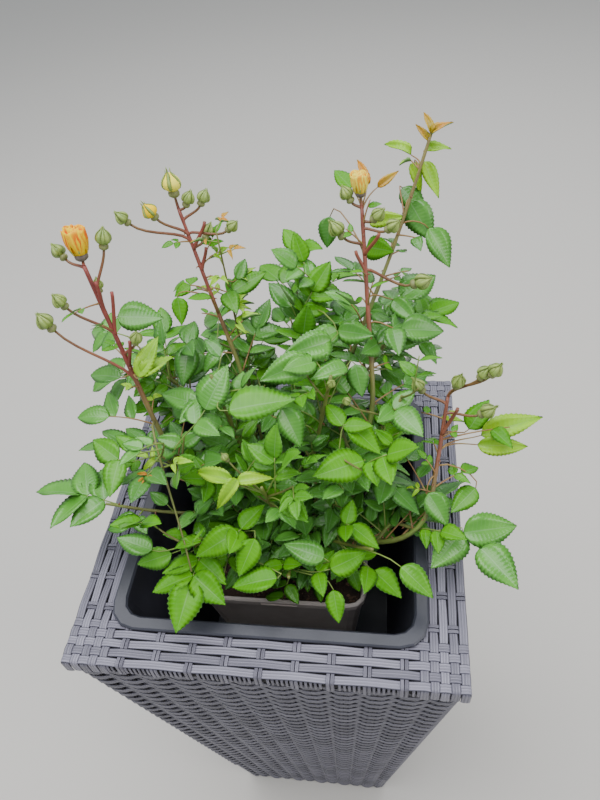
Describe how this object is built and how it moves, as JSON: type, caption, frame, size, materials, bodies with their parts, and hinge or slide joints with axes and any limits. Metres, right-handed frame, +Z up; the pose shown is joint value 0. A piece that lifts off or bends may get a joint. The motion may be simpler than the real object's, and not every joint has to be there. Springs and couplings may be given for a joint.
{
  "type": "rose bush",
  "caption": "Rose bush in bud in a square nursery pot, standing in the lined mouth of a tall tapered planter woven from grey plastic strap.",
  "frame": {"origin": "middle of the planter's flat underside, where it stands", "axes": "+Z up, +X to the right of the planter's front, +Y from the front towards the back"},
  "size_m": [0.48, 0.3852, 0.9929],
  "materials": {
    "weave": "satin grey plastic strap with streaks and fine lengthwise ribs",
    "liner": "moulded plastic, dark blue-grey, satin",
    "pot": "thin moulded plastic, taupe, satin",
    "compost": "damp bark compost",
    "cane": "green to tan rose bark, maroon on the flowering shoots",
    "foliage": "glossy green rose leaves, paler and matt underneath"
  },
  "bodies": {
    "root": {"planter_wall_front": "weave", "planter_wall_right": "weave", "planter_wall_back": "weave", "planter_wall_left": "weave", "planter_border_front": "weave", "planter_border_right": "weave", "planter_border_back": "weave", "planter_border_left": "weave", "planter_base": "weave", "planter_liner": "liner", "nursery_pot": "pot", "compost": "compost", "crown": "cane", "cane_left": "cane", "cane_back_left": "cane", "cane_back_right": "cane", "cane_young": "cane", "cane_right": "cane", "cane_centre_right": "cane", "cane_centre_left": "cane", "cane_centre_low": "cane", "cane_front_left": "cane", "cane_centre_front": "cane", "cane_front": "cane", "cane_front_right": "cane", "cane_right_low": "cane", "cane_right_back": "cane", "cane_back_mid": "cane", "cane_back": "cane", "cane_back_low": "cane", "cane_left_back": "cane", "cane_left_mid": "cane", "cane_left_low": "cane", "leaves_left": "foliage", "leaves_back_left": "foliage", "leaves_back_right": "foliage", "leaves_young": "foliage", "leaves_right": "foliage", "leaves_centre_right": "foliage", "leaves_centre_left": "foliage", "leaves_centre_low": "foliage", "leaves_front_left": "foliage", "leaves_centre_front": "foliage", "leaves_front": "foliage", "leaves_front_right": "foliage", "leaves_right_low": "foliage", "leaves_right_back": "foliage", "leaves_back_mid": "foliage", "leaves_back": "foliage", "leaves_back_low": "foliage", "leaves_left_back": "foliage", "leaves_left_mid": "foliage", "leaves_left_low": "foliage"}
  },
  "joints": []
}
